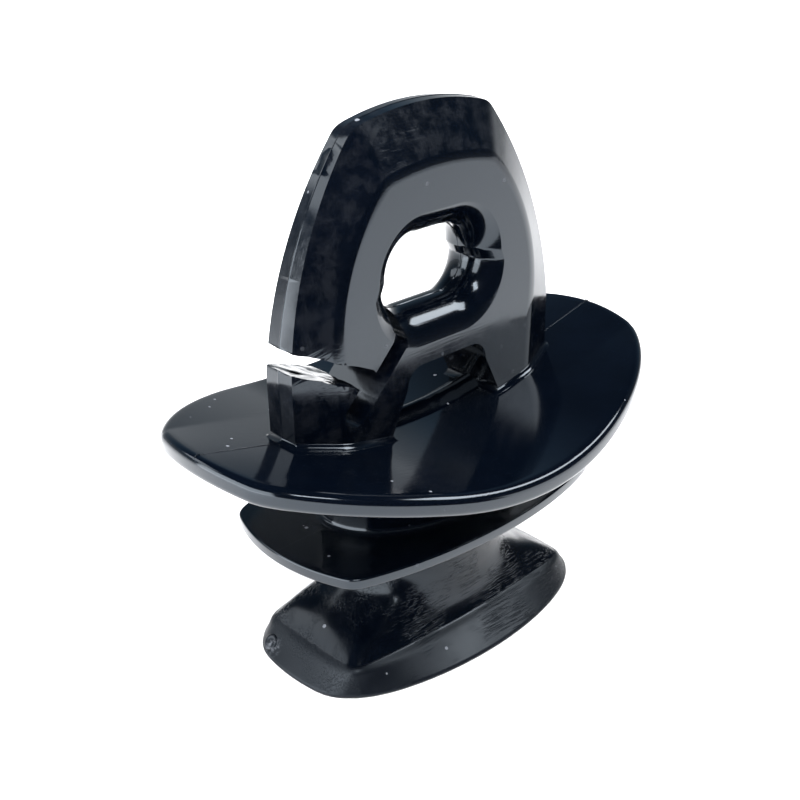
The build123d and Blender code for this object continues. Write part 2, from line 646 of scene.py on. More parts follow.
@dataclass
class GateScar:
    """Round mark on the foot's slit end, where the moulding was broken from its runner."""

    centre: tuple[float, float, float] = (-19.05, 5.0, 1.45)
    lean: float = 43.0
    radius: float = 0.72
    ridge_reach: float = 0.74
    profile: Sequence[tuple[float, float]] = (
        (0.06, 0.05), (0.18, 0.045), (0.3, 0.01), (0.42, 0.0), (0.56, 0.01), (0.66, 0.06), (0.74, 0.065),
        (0.86, 0.03), (0.98, -0.08),
    )
    buried: tuple[float, float] = (0.7, -0.5)
    roughness: float = 0.06
    count: int = 40
    slot: MaterialSlot = MaterialSlot.SATIN

    def build(self) -> bpy.types.Object:
        """Builds a low ring with a raised middle, leaning with the wall.

        Returns:
            The mark.
        """
        turn = Matrix.Rotation(math.radians(-self.lean), 3, "Y")
        scale = self.radius / self.ridge_reach

        def place(index: int, reach: float, rise: float) -> Vector:
            """Finds a station's place.

            Args:
                index: number of the station.
                reach: distance from the middle.
                rise: height over the wall.

            Returns:
                The place.
            """
            angle = 2 * math.pi * index / self.count
            cos, sin = math.cos(angle), math.sin(angle)
            rough = 1 + self.roughness * noise.noise(Vector((cos * 2, sin * 2, reach * 5)))
            spot = Vector((reach * scale * cos * rough, reach * scale * sin * rough, rise))
            return turn @ spot + Vector(self.centre)

        rows = [self.buried, *reversed(self.profile)]
        return make_object("gate_scar", stack_rings(rows, self.count, place))


@dataclass
class BaseFillet:
    """Cove between the arch's feet and the upper flange."""

    wing: WingCurve
    flange_z: float
    radius: float = 0.62
    steps: int = 7
    hollow: float = 0.55
    slot: MaterialSlot = MaterialSlot.GLOSS

    def sections(self, arch: bpy.types.Object) -> list[list[Vector]]:
        """Sections of the arch's feet just over the flange.

        Args:
            arch: the finished arch.

        Returns:
            One anticlockwise outline at height 0 for each foot, from high X to low X.
        """
        mesh = bmesh.new()
        mesh.from_mesh(arch.data)
        bmesh.ops.scale(mesh, vec=(1 / MM, 1 / MM, 1 / MM), verts=mesh.verts)
        for vert in mesh.verts:
            vert.co.z -= self.wing.rise(vert.co.x)
        whole = mesh.verts[:] + mesh.edges[:] + mesh.faces[:]
        bmesh.ops.bisect_plane(
            mesh, geom=whole, plane_co=(0, 0, self.flange_z + self.radius), plane_no=(0, 0, 1),
            clear_outer=True, clear_inner=True,
        )
        bmesh.ops.remove_doubles(mesh, verts=mesh.verts, dist=0.04)
        outlines, seen = [], set()
        for start in mesh.verts:
            if start in seen or len(start.link_edges) != 2:
                continue
            outline, vert = [], start
            while vert is not None:
                seen.add(vert)
                outline.append(Vector((vert.co.x, vert.co.y, 0)))
                ahead = [edge.other_vert(vert) for edge in vert.link_edges]
                vert = next((other for other in ahead if other not in seen), None)
            area = sum(a.x * b.y - b.x * a.y for a, b in zip(outline, outline[1:] + outline[:1]))
            outline = outline if area > 0 else outline[::-1]
            first = min(range(len(outline)), key=lambda index: tuple(outline[index]))
            outlines.append(outline[first:] + outline[:first])
        mesh.free()
        feet = [outline for outline in outlines if len(outline) > 12]
        return sorted(feet, key=lambda outline: outline[0].x, reverse=True)

    def profile(self) -> list[tuple[float, float]]:
        """Section of the cove, between a quarter circle and a flat.

        Returns:
            Distance from the foot and height over the flange, for each ring.
        """
        rows = [(self.radius, -0.35)]
        for step in range(self.steps + 1):
            share = step / self.steps
            turn = QUARTER * share
            flare = self.hollow * (1 - math.sin(turn)) + (1 - self.hollow) * (1 - share)
            lift = self.hollow * (1 - math.cos(turn)) + (1 - self.hollow) * share
            rows.append((self.radius * flare, self.radius * lift - 0.02))
        return rows + [(-0.3, self.radius)]

    def cove(self, number: int, outline: list[Vector]) -> bpy.types.Object:
        """Grows the cove round one foot.

        Args:
            number: number of the foot.
            outline: the foot's outline.

        Returns:
            The cove.
        """
        normals = outward_normals(outline)

        def place(index: int, flare: float, lift: float) -> Vector:
            """Finds a station's place.

            Args:
                index: number of the station.
                flare: distance from the foot.
                lift: height over the flange.

            Returns:
                The place.
            """
            spot = outline[index] + normals[index] * flare
            spot.z = self.flange_z + self.wing.rise(spot.x) + lift
            return spot

        return make_object(f"base_cove_{number}", stack_rings(self.profile(), len(outline), place))

    def build(self, arch: bpy.types.Object) -> list[bpy.types.Object]:
        """Grows a cove round each of the arch's feet.

        Args:
            arch: the finished arch.

        Returns:
            One piece for each foot.
        """
        return [self.cove(number, outline) for number, outline in enumerate(self.sections(arch), 1)]


@dataclass
class WindowSill:
    """Low rounded sill on the upper flange, between the arch's feet."""

    wing: WingCurve
    flange_z: float
    ends: tuple[float, float] = (-9.0, 11.2)
    height: float = 1.1
    half_width: float = 2.1
    centre_y: float = 0.5
    ripple: float = 0.03
    sink: float = 0.5
    count: int = 48
    rings: int = 40
    slot: MaterialSlot = MaterialSlot.GLOSS

    def build(self) -> bpy.types.Object:
        """Builds the sill from sections across it.

        Returns:
            The sill.
        """
        half = self.count // 2

        def place(index: int, x: float) -> Vector:
            """Finds a station's place.

            Args:
                index: number of the station, over the top first and then under it.
                x: place along the sill.

            Returns:
                The place.
            """
            if index < half:
                share = index / (half - 1) * 2 - 1
                rise = self.height * (0.5 + 0.5 * math.cos(math.pi * share)) ** 0.8 - 0.03
            else:
                share = 1 - (index - half) / (half - 1) * 2
                rise = -self.sink
            y = self.centre_y + self.half_width * share
            ripple = self.ripple * noise.noise(Vector((x * 0.9, y * 1.4, 4.2))) * (rise > 0)
            return Vector((x, y, self.flange_z + self.wing.rise(x) + rise + ripple))

        low, high = self.ends
        rows = [(low + (high - low) * step / self.rings,) for step in range(self.rings + 1)]
        return make_object("window_sill", stack_rings(rows, self.count, place))


@dataclass
class Pedestal:
    """Foot and neck in one skin: drafted walls, a soft crease and a concave waist."""

    base: Bowed = Bowed(24.6, 12.5, 19.2, 20.4)
    base_squareness: float = 9.0
    crease: Bowed = Bowed(34.5, 8.9, 17.3, 17.5)
    crease_squareness: float = 16.0
    corner_share: float = 2.0
    hem: Sequence[tuple[float, float]] = ((0.0, 0.4), (0.05, 0.16), (0.2, 0.03), (0.4, 0.0))
    crease_z: float = 3.1
    wall_hollow: float = 0.06
    crease_round: float = 0.3
    round_from: float = 0.75
    round_to: float = 0.98
    waist: SectionCurve = SectionCurve((
        (3.1, 17.2, 8.6, 1.0), (3.4, 16.87, 8.38, 1.0), (3.9, 16.3, 8.08, 0.97), (4.8, 15.1, 7.68, 0.86),
        (6.0, 13.0, 7.4, 0.58), (7.75, 10.8, 7.3, 0.24), (10.6, 10.0, 7.4, 0.0), (13.4, 11.2, 8.5, 0.0),
        (14.9, 13.0, 9.9, 0.0), (15.45, 14.3, 10.8, 0.0),
    ))
    waist_rings: int = 46
    count: int = 320
    slot: MaterialSlot = MaterialSlot.SATIN

    def rows(self) -> list[tuple]:
        """Sizes of every ring, from the underside up.

        Returns:
            Height, share of the way to the crease and inset for each ring of the wall, and
            height alone for each ring of the waist.
        """
        rows = [(z, 0, inset) for z, inset in self.hem]
        foot_z = self.hem[-1][0]
        shares = [step / 12 for step in range(1, 9)]
        shares += [self.round_from + (self.round_to - self.round_from) * step / 4 for step in range(5)]
        for share in shares:
            nose = self.crease_round * max(0.0, (share - self.round_from) / (1 - self.round_from)) ** 2
            hollow = self.wall_hollow * math.sin(math.pi * share)
            rows.append((foot_z + (self.crease_z - foot_z) * share, share, hollow + nose))
        low, high = self.crease_z + 0.05, self.waist.rows[-1][0]
        steps = range(self.waist_rings + 1)
        return rows + [(low + (high - low) * (step / self.waist_rings) ** 1.15,) for step in steps]

    def waist_spot(self, corner: Vector, z: float) -> Vector:
        """Point of the waist over a point of the crease.

        Args:
            corner: the point of the crease.
            z: height.

        Returns:
            The point.
        """
        length, width = self.crease.end_x, self.crease.half_width
        half_length, half_width, share = self.waist.at(z)
        angle = math.atan2(corner.y / width, corner.x / length)
        oval = Vector((half_length * math.cos(angle), half_width * math.sin(angle), z))
        squared = Vector((corner.x * half_length / length, corner.y * half_width / width, z))
        return oval.lerp(squared, share)

    def build(self) -> bpy.types.Object:
        """Builds the skin ring by ring, from the underside up.

        Returns:
            The foot and neck.
        """
        low = even_stations(self.base, self.base_squareness, self.count, self.corner_share)
        high = even_stations(self.crease, self.crease_squareness, self.count, self.corner_share)
        inward = [-normal for normal in outward_normals(low)]

        def place(index: int, z: float, share: float = 1.0, inset: float = 0.0) -> Vector:
            """Finds a station's place.

            Args:
                index: number of the station.
                z: height.
                share: on the wall, share of the way from the base to the crease.
                inset: on the wall, distance inside it.

            Returns:
                The place.
            """
            if z > self.crease_z:
                return self.waist_spot(high[index], z)
            spot = low[index].lerp(high[index], share) + inward[index] * inset
            return Vector((spot.x, spot.y, z))

        return make_object("pedestal_skin", stack_rings(self.rows(), self.count, place))


@dataclass
class Arch:
    """The arch over the upper flange, with its eye, window and jam slot."""

    wing: WingCurve
    flange_z: float
    face_y: float = 4.05
    edge_y: float = 1.6
    crown_edge_y: float = 1.25
    leg_edge_y: float = 2.05
    edge: ArchOutline = ArchOutline((9.6, 59.6), 60.98, (16.3, 48.4), (19.2, 35.9), 19.2, 22.0)
    face: ArchOutline = ArchOutline((7.4, 54.45), 55.3, (12.6, 47.3), (14.3, 38.4), 13.4, 22.0)
    eye_throat: tuple[float, float, float, float] = (6.7, 6.2, 39.5, 47.5)
    eye_mouth: tuple[float, float, float, float] = (9.5, 9.0, 35.95, 50.4)
    throat_corner: float = 3.5
    mouth_corner: float = 6.6
    eye_stations: int = 192
    eye_land: float = 0.35
    eye_bite: float = 0.95
    eye_seam: Sequence[tuple[float, float]] = ((-0.1, 0.0), (-0.05, 0.07), (0.05, 0.07), (0.1, 0.0))
    edge_seam: Sequence[tuple[float, float]] = ((-0.13, -0.05), (-0.05, 0.0), (0.05, 0.0), (0.13, -0.05))
    edge_sink: float = -0.12
    edge_low_z: float = 36.0
    edge_high_z: float = 58.0
    face_round: float = 0.8
    window: tuple[float, float, float, float] = (10.6, 5.95, 20.0, 33.95)
    window_corner: float = 2.2
    window_shift: float = 0.7
    slot_runs: tuple = (
        ((-6.3, 41.5), (-5.8, 37.5), 1.5),
        ((-5.97, 37.4), (-10.5, 32.75), 2.1),
        ((-10.8, 33.0), (-12.47, 31.3), 2.9),
        ((-10.8, 34.7), (-24.0, 40.3), 2.2),
    )
    slit_wave: float = 0.22
    round_width: float = 0.28
    round_over: float = 26.0
    slot: MaterialSlot = MaterialSlot.GLOSS

    def body(self) -> bpy.types.Object:
        """Builds the plate with flat faces, wide bevels and a narrow outer edge.

        Returns:
            The uncut arch.
        """
        face, edge = self.face.stations(), self.edge.stations()

        def place(index: int, points: list[Vector], y: float, swell: float = 0.0) -> Vector:
            """Finds a station's place.

            Args:
                index: number of the station.
                points: outline of the ring.
                y: place across the arch.
                swell: distance outside the outline.

            Returns:
                The place.
            """
            spot = points[index].copy()
            outward = Vector((spot.x, 0, max(0.0, spot.z - 30)))
            spot += outward.normalized() * swell if outward.length else Vector()
            height = min(1.0, max(0.0, (spot.z - self.edge_low_z) / (self.edge_high_z - self.edge_low_z)))
            side = self.leg_edge_y + (self.crown_edge_y - self.leg_edge_y) * height
            spot.y = y if abs(y) == self.face_y else y * side / self.edge_y
            return spot

        rows = [(face, -self.face_y), (edge, -self.edge_y, self.edge_sink)]
        rows += [(edge, y, swell) for y, swell in self.edge_seam]
        rows += [(edge, self.edge_y, self.edge_sink), (face, self.face_y)]
        mesh = stack_rings(rows, self.edge.count, place)
        creases = []
        for item in mesh.edges:
            first, second = (vert.co.y for vert in item.verts)
            if abs(abs(first) - self.face_y) < 0.01 and abs(first - second) < 0.01:
                creases.append(item)
        bevel_edges(mesh, creases, self.face_round, 6)
        return make_object("arch_skin", mesh)

    def rounded_frame(self, sizes: tuple, corner: float, count: int) -> list[Vector]:
        """Stations of a rounded trapezium.

        Args:
            sizes: half width below, half width above, bottom and top.
            corner: radius of its corners.
            count: number of stations, a multiple of four.

        Returns:
            Their places, at Y = 0.
        """
        low, high, bottom, top = sizes
        corners = [
            (low - corner, bottom + corner, -90), (high - corner, top - corner, 0),
            (-(high - corner), top - corner, 90), (-(low - corner), bottom + corner, 180),
        ]
        path = []
        each = count // 4
        bend = each * 2 // 3
        for index, (x, z, first) in enumerate(corners):
            end = None
            for step in range(bend + 1):
                angle = math.radians(first + 90 * step / bend)
                end = Vector((x + corner * math.cos(angle), 0, z + corner * math.sin(angle)))
                path.append(end)
            nx, nz, nfirst = corners[(index + 1) % 4]
            nangle = math.radians(nfirst)
            goal = Vector((nx + corner * math.cos(nangle), 0, nz + corner * math.sin(nangle)))
            straight = each - bend - 1
            path += [end.lerp(goal, (step + 1) / (straight + 1)) for step in range(straight)]
        return path

    def eye_opening(self, y: float) -> float:
        """How far the eye has opened from its throat to its mouth.

        Args:
            y: place across the arch.

        Returns:
            0 at the throat, 1 at the face and more outside it.
        """
        share = max(0.0, (abs(y) - self.eye_land) / (self.face_y - self.eye_land))
        if share > 1:
            return 1 + (share - 1) * 4.2
        full = 1 - math.sqrt(1 - self.eye_bite ** 2)
        return (1 - math.sqrt(1 - (self.eye_bite * share) ** 2)) / full

    def eye_cutter(self) -> bpy.types.Object:
        """Spool that cuts the eye and the rounded mouths on both faces.

        Returns:
            The cutter.
        """
        throat = self.rounded_frame(self.eye_throat, self.throat_corner, self.eye_stations)
        mouth = self.rounded_frame(self.eye_mouth, self.mouth_corner, self.eye_stations)
        centre = Vector((0, 0, (self.eye_throat[2] + self.eye_throat[3]) / 2))

        def place(index: int, y: float, rise: float = 0.0) -> Vector:
            """Finds a station's place.

            Args:
                index: number of the station.
                y: place across the arch.
                rise: depth of the groove that leaves the seam standing.

            Returns:
                The place.
            """
            spot = throat[index].lerp(mouth[index], self.eye_opening(y))
            spot -= (throat[index] - centre).normalized() * rise
            spot.y = y
            return spot

        depth = self.face_y - self.eye_land
        steps = [self.eye_land * 0.5, self.eye_land]
        steps += [self.eye_land + depth * math.sin(QUARTER * i / 14) for i in range(1, 15)]
        steps.append(self.face_y + 0.35)
        rows = [(-y,) for y in reversed(steps)] + list(self.eye_seam) + [(y,) for y in steps]
        return make_object("eye_cutter", stack_rings(rows, self.eye_stations, place))

    def prism(self, name: str, path: Sequence[tuple], torn: float = 0.0) -> bpy.types.Object:
        """Cutter of constant section across the whole arch.

        Args:
            name: name of the cutter.
            path: outline points in X and Z.
            torn: depth of the waves in a roughly parted face.

        Returns:
            The cutter.
        """
        reach = 5.0
        places = [-reach, reach] if torn == 0 else [-reach + 2 * reach * step / 26 for step in range(27)]

        def place(index: int, y: float) -> Vector:
            """Finds a station's place.

            Args:
                index: number of the station.
                y: place across the arch.

            Returns:
                The place.
            """
            x, z = path[index]
            wave = noise.noise(Vector((x * 0.42 + 3.1, y * 0.55, z * 0.2)))
            wave += 0.45 * noise.noise(Vector((x * 1.1, y * 1.3 + 7.7, z * 0.4)))
            return Vector((x, y, z + torn * wave))

        return make_object(name, stack_rings([(y,) for y in places], len(path), place))

    def slot_cutter(self, number: int) -> bpy.types.Object:
        """Cutter of one run of the jam slot, with round ends.

        Args:
            number: number of the run; the last one is the torn slit through the outer edge.

        Returns:
            The cutter.
        """
        start, end, width = self.slot_runs[number]
        a, b = Vector(start), Vector(end)
        heading = math.atan2(b.y - a.y, b.x - a.x)
        outer = number == len(self.slot_runs) - 1
        path = []
        for centre, first, goal in ((b, heading - QUARTER, a), (a, heading + QUARTER, b)):
            bend = [first + math.pi * step / 16 for step in range(17)]
            spots = [(centre.x + width / 2 * math.cos(t), centre.y + width / 2 * math.sin(t)) for t in bend]
            path += spots
            if outer:
                last = spots[-1]
                along = goal - centre
                path += run(last, (last[0] + along.x, last[1] + along.y), 34)[1:]
        return self.prism(f"slot_cutter_{number}", path, self.slit_wave if outer else 0.0)

    def window_cutter(self) -> bpy.types.Object:
        """Cutter of the window under the eye."""
        path = self.rounded_frame(self.window, self.window_corner, 96)
        return self.prism("window_cutter", [(spot.x + self.window_shift, spot.z) for spot in path])

    def ground_cutter(self) -> bpy.types.Object:
        """Slab that ends the arch a little inside the upper flange.

        Returns:
            The cutter.
        """
        half_length, half_width, bury, bottom = 24, 9, 1.0, 5.0
        mesh = bmesh.new()
        bmesh.ops.create_grid(mesh, x_segments=60, y_segments=1, size=1.0)
        for vert in mesh.verts:
            vert.co = Vector((vert.co.x * half_length, vert.co.y * half_width, 0))
            vert.co.z = self.flange_z + self.wing.rise(vert.co.x) - bury
        grown = bmesh.ops.extrude_face_region(mesh, geom=mesh.faces[:])["geom"]
        for item in grown:
            if isinstance(item, bmesh.types.BMVert):
                item.co.z = bottom
        bmesh.ops.recalc_face_normals(mesh, faces=mesh.faces)
        return make_object("ground_cutter", mesh)

    def build(self) -> bpy.types.Object:
        """Builds the arch and cuts its openings.

        Returns:
            The arch.
        """
        piece = self.body()
        cutters = [self.eye_cutter(), self.window_cutter(), self.ground_cutter()]
        cutters += [self.slot_cutter(number) for number in range(len(self.slot_runs))]
        cut_with(piece, cutters)
        soften(piece, self.round_width, self.round_over)
        return piece


def seam_path(plate: Plate, start: float) -> list[tuple[float, float]]:
    """Path of a seam over one end of a flange: along the top, round the rim and under it.

    Args:
        plate: the flange.
        start: where the seam comes out of the member above.

    Returns:
        Points in X and Z.
    """
    end = plate.outline.end_x
    top = plate.top_z(end, 0)
    low = top - plate.thickness
    over, under = plate.top_round, plate.under_round
    along = [start + (end - over - start) * i / 24 for i in range(25)]
    path = [(x, plate.top_z(x, 0)) for x in along]
    for turn in (QUARTER * i / 6 for i in range(1, 7)):
        path.append((end - over * (1 - math.sin(turn)), top - over * (1 - math.cos(turn))))
    path.append((end, low + under))
    for turn in (QUARTER * i / 4 for i in range(1, 5)):
        path.append((end - under * (1 - math.cos(turn)), low + under * (1 - math.sin(turn))))
    return path


def mould_seams(upper: Plate, lower: Plate) -> list[SeamBead]:
    """Seam lines over the ends of both flanges.

    Args:
        upper: the upper flange.
        lower: the lower flange.

    Returns:
        One seam for each end of each flange.
    """
    inset, sink = 0.06, 0.02
    seams = []
    for plate, start in ((upper, 19.0), (lower, 13.6)):
        path = seam_path(plate, start)
        for side in Side:
            spots = [((x - inset) * side.value, z - sink) for x, z in path]
            seams.append(SeamBead(f"{plate.node}_seam_{side.name.lower()}", spots))
    return seams


# ---------------------------------------------------------------- finishes


Socket = bpy.types.NodeSocket
# Sockets of a Mix node that mixes colours.
MIX_FIRST, MIX_SECOND, MIX_RESULT = 6, 7, 2


@dataclass
class Board:
    """Short hand for adding nodes to a tree."""

    tree: bpy.types.NodeTree

    def node(self, kind: str, **settings: object) -> bpy.types.Node:
        """Adds a node and sets its properties.

        Args:
            kind: type of the node, without its prefix.
            settings: its properties.

        Returns:
            The node.
        """
        node = self.tree.nodes.new("ShaderNode" + kind)
        for key, value in settings.items():
            setattr(node, key, value)
        return node

    def feed(self, socket: Socket, value: object) -> None:
        """Links a socket to another, or sets its value.

        Args:
            socket: input to feed.
            value: socket or value to feed it with.
        """
        if isinstance(value, bpy.types.NodeSocket):
            self.tree.links.new(value, socket)
        else:
            socket.default_value = value

    def math(self, operation: str, first: object, second: object = 0.0, clamp: bool = False) -> Socket:
        """Adds a calculation.

        Args:
            operation: name of the calculation.
            first: first number or socket.
            second: second number or socket.
            clamp: whether the result stays between 0 and 1.

        Returns:
            The result's socket.
        """
        node = self.node("Math", operation=operation, use_clamp=clamp)
        self.feed(node.inputs[0], first)
        self.feed(node.inputs[1], second)
        return node.outputs[0]

    def spread(
        self, value: object, low: float, high: float, to_low: float = 0.0, to_high: float = 1.0,
    ) -> Socket:
        """Maps a range to another, smoothly and without going past its ends.

        Args:
            value: number or socket to map.
            low: start of its range.
            high: end of its range.
            to_low: result at the start.
            to_high: result at the end.

        Returns:
            The result's socket.
        """
        node = self.node("MapRange", interpolation_type="SMOOTHSTEP")
        for socket, given in zip(node.inputs, (value, low, high, to_low, to_high)):
            self.feed(socket, given)
        return node.outputs[0]

    def place(self, scale: Sequence[float] = (1, 1, 1), turn: Sequence[float] = (0, 0, 0)) -> Socket:
        """Object coordinates, scaled and turned.

        Args:
            scale: scale along each axis.
            turn: turn about each axis, in degrees.

        Returns:
            The coordinates' socket.
        """
        mapping = self.node("Mapping")
        mapping.inputs["Scale"].default_value = scale
        mapping.inputs["Rotation"].default_value = [math.radians(angle) for angle in turn]
        self.tree.links.new(self.node("TexCoord").outputs["Object"], mapping.inputs["Vector"])
        return mapping.outputs[0]

    def noise(self, vector: Socket, scale: object, detail: float = 3.0, roughness: float = 0.5) -> Socket:
        """Value of a noise pattern.

        Args:
            vector: where to read it.
            scale: number or socket for its fineness.
            detail: how many finer layers it has.
            roughness: strength of the finer layers.

        Returns:
            The value's socket.
        """
        node = self.node("TexNoise")
        self.feed(node.inputs["Vector"], vector)
        self.feed(node.inputs["Scale"], scale)
        node.inputs["Detail"].default_value = detail
        node.inputs["Roughness"].default_value = roughness
        return node.outputs[0]


def effect_group(name: str, inputs: Sequence[tuple[str, float]], outputs: Sequence[str]) -> tuple:
    """Starts a shader node group of number sockets.

    Args:
        name: name of the group.
        inputs: names and usual values of its inputs.
        outputs: names of its outputs.

    Returns:
        The group, its board, its input node and its output node.
    """
    tree = bpy.data.node_groups.new(name, "ShaderNodeTree")
    for label, value in inputs:
        socket = tree.interface.new_socket(label, in_out="INPUT", socket_type="NodeSocketFloat")
        socket.default_value = value
    for label in outputs:
        tree.interface.new_socket(label, in_out="OUTPUT", socket_type="NodeSocketFloat")
    return tree, Board(tree), tree.nodes.new("NodeGroupInput"), tree.nodes.new("NodeGroupOutput")


def make_rubbing_group() -> bpy.types.NodeTree:
    """Short hair-fine rubbing marks in three directions, in patches.

    Returns:
        The group.
    """
    tree, board, given, result = effect_group(
        "rubbing_marks", (("Scale", 1.0), ("Amount", 1.0)), ("Height", "Mask"))
    strokes = (
        ((0.5, 15.0, 15.0), (0, 62, 12)), ((0.6, 17.0, 17.0), (0, 40, -8)), ((0.5, 13.0, 13.0), (0, 74, 30)),
    )
    total = None
    for stretch, turn in strokes:
        scale = board.math("MULTIPLY", given.outputs["Scale"], 260.0)
        lines = board.noise(board.place(stretch, turn), scale, 0.0, 0.5)
        ridge = board.spread(lines, 0.62, 0.72)
        total = ridge if total is None else board.math("MAXIMUM", total, ridge)
    patch_scale = board.math("MULTIPLY", given.outputs["Scale"], 140.0)
    patches = board.spread(board.noise(board.place(), patch_scale, 2.0), 0.42, 0.66)
    marks = board.math("MULTIPLY", total, patches)
    marks = board.math("MULTIPLY", marks, given.outputs["Amount"])
    board.feed(result.inputs["Mask"], marks)
    board.feed(result.inputs["Height"], board.math("MULTIPLY", marks, -1.0))
    return tree


def make_dust_group() -> bpy.types.NodeTree:
    """Sparse specks of dust that lie on faces turned upwards.

    Returns:
        The group.
    """
    tree, board, given, result = effect_group("dust_specks", (("Scale", 1.0), ("Amount", 1.0)), ("Mask",))
    cells = board.node("TexVoronoi", feature="F1")
    board.feed(cells.inputs["Vector"], board.place())
    board.feed(cells.inputs["Scale"], board.math("MULTIPLY", given.outputs["Scale"], 520.0))
    split = board.node("SeparateColor")
    board.tree.links.new(cells.outputs["Color"], split.inputs[0])
    chosen = board.math("GREATER_THAN", split.outputs[0], 0.76)
    size = board.spread(split.outputs[1], 0.0, 1.0, 0.035, 0.13)
    speck = board.math("LESS_THAN", cells.outputs["Distance"], size)
    facing = board.node("SeparateXYZ")
    board.tree.links.new(board.node("NewGeometry").outputs["Normal"], facing.inputs[0])
    upward = board.spread(facing.outputs["Z"], 0.2, 0.8, 0.12, 1.0)
    mask = board.math("MULTIPLY", board.math("MULTIPLY", chosen, speck), upward)
    board.feed(result.inputs["Mask"], board.math("MULTIPLY", mask, given.outputs["Amount"], clamp=True))
    return tree


def make_wear_group() -> bpy.types.NodeTree:
    """Slightly dulled outer edges, broken up by noise.

    Returns:
        The group.
    """
    tree, board, given, result = effect_group("edge_wear", (("Spread", 0.03), ("Amount", 1.0)), ("Mask",))
    point = board.node("NewGeometry").outputs["Pointiness"]
    start = board.math("ADD", 0.5, given.outputs["Spread"])
    raised = board.math("MULTIPLY", board.math("SUBTRACT", point, start), 14.0, clamp=True)
    broken = board.spread(board.noise(board.place(), 480.0, 4.0, 0.7), 0.4, 0.65)
    worn = board.math("MULTIPLY", raised, broken)
    board.feed(result.inputs["Mask"], board.math("MULTIPLY", worn, given.outputs["Amount"], clamp=True))
    return tree


def make_flow_group() -> bpy.types.NodeTree:
    """Faint waves and orange peel that cooling leaves in moulded plastic.

    Returns:
        The group.
    """
    tree, board, given, result = effect_group(
        "moulding_flow", (("Wave", 1.0), ("Peel", 1.0)), ("Height", "Gloss"))
    waves = board.noise(board.place((1.0, 1.0, 1.4)), 70.0, 1.0)
    peel = board.noise(board.place(), 900.0, 2.0)
    height = board.math("ADD", board.math("MULTIPLY", waves, given.outputs["Wave"]),
                        board.math("MULTIPLY", board.math("MULTIPLY", peel, given.outputs["Peel"]), 0.05))
    board.feed(result.inputs["Height"], height)
    board.feed(result.inputs["Gloss"], board.noise(board.place((1, 1, 2.2)), 160.0, 4.0, 0.6))
    return tree


@dataclass
class SurfaceEffects:
    """Effects that the finishes share, each built once."""

    rubbing: bpy.types.NodeTree = field(default_factory=make_rubbing_group)
    dust: bpy.types.NodeTree = field(default_factory=make_dust_group)
    wear: bpy.types.NodeTree = field(default_factory=make_wear_group)
    flow: bpy.types.NodeTree = field(default_factory=make_flow_group)

    @staticmethod
    def use(board: Board, group: bpy.types.NodeTree, **values: float) -> bpy.types.Node:
        """Places a group in a material.

        Args:
            board: the material's board.
            group: the group.
            values: values of its inputs.

        Returns:
            The group's node.
        """
        node = board.node("Group", node_tree=group)
        for key, value in values.items():
            node.inputs[key].default_value = value
        return node


def new_material(name: str) -> tuple[bpy.types.Material, Board, bpy.types.Node]:
    """Makes a material with a Principled shader.

    Args:
        name: name of the material.

    Returns:
        The material, its board and its shader node.
    """
    material = bpy.data.materials.new(name)
    material.use_nodes = True
    return material, Board(material.node_tree), material.node_tree.nodes["Principled BSDF"]


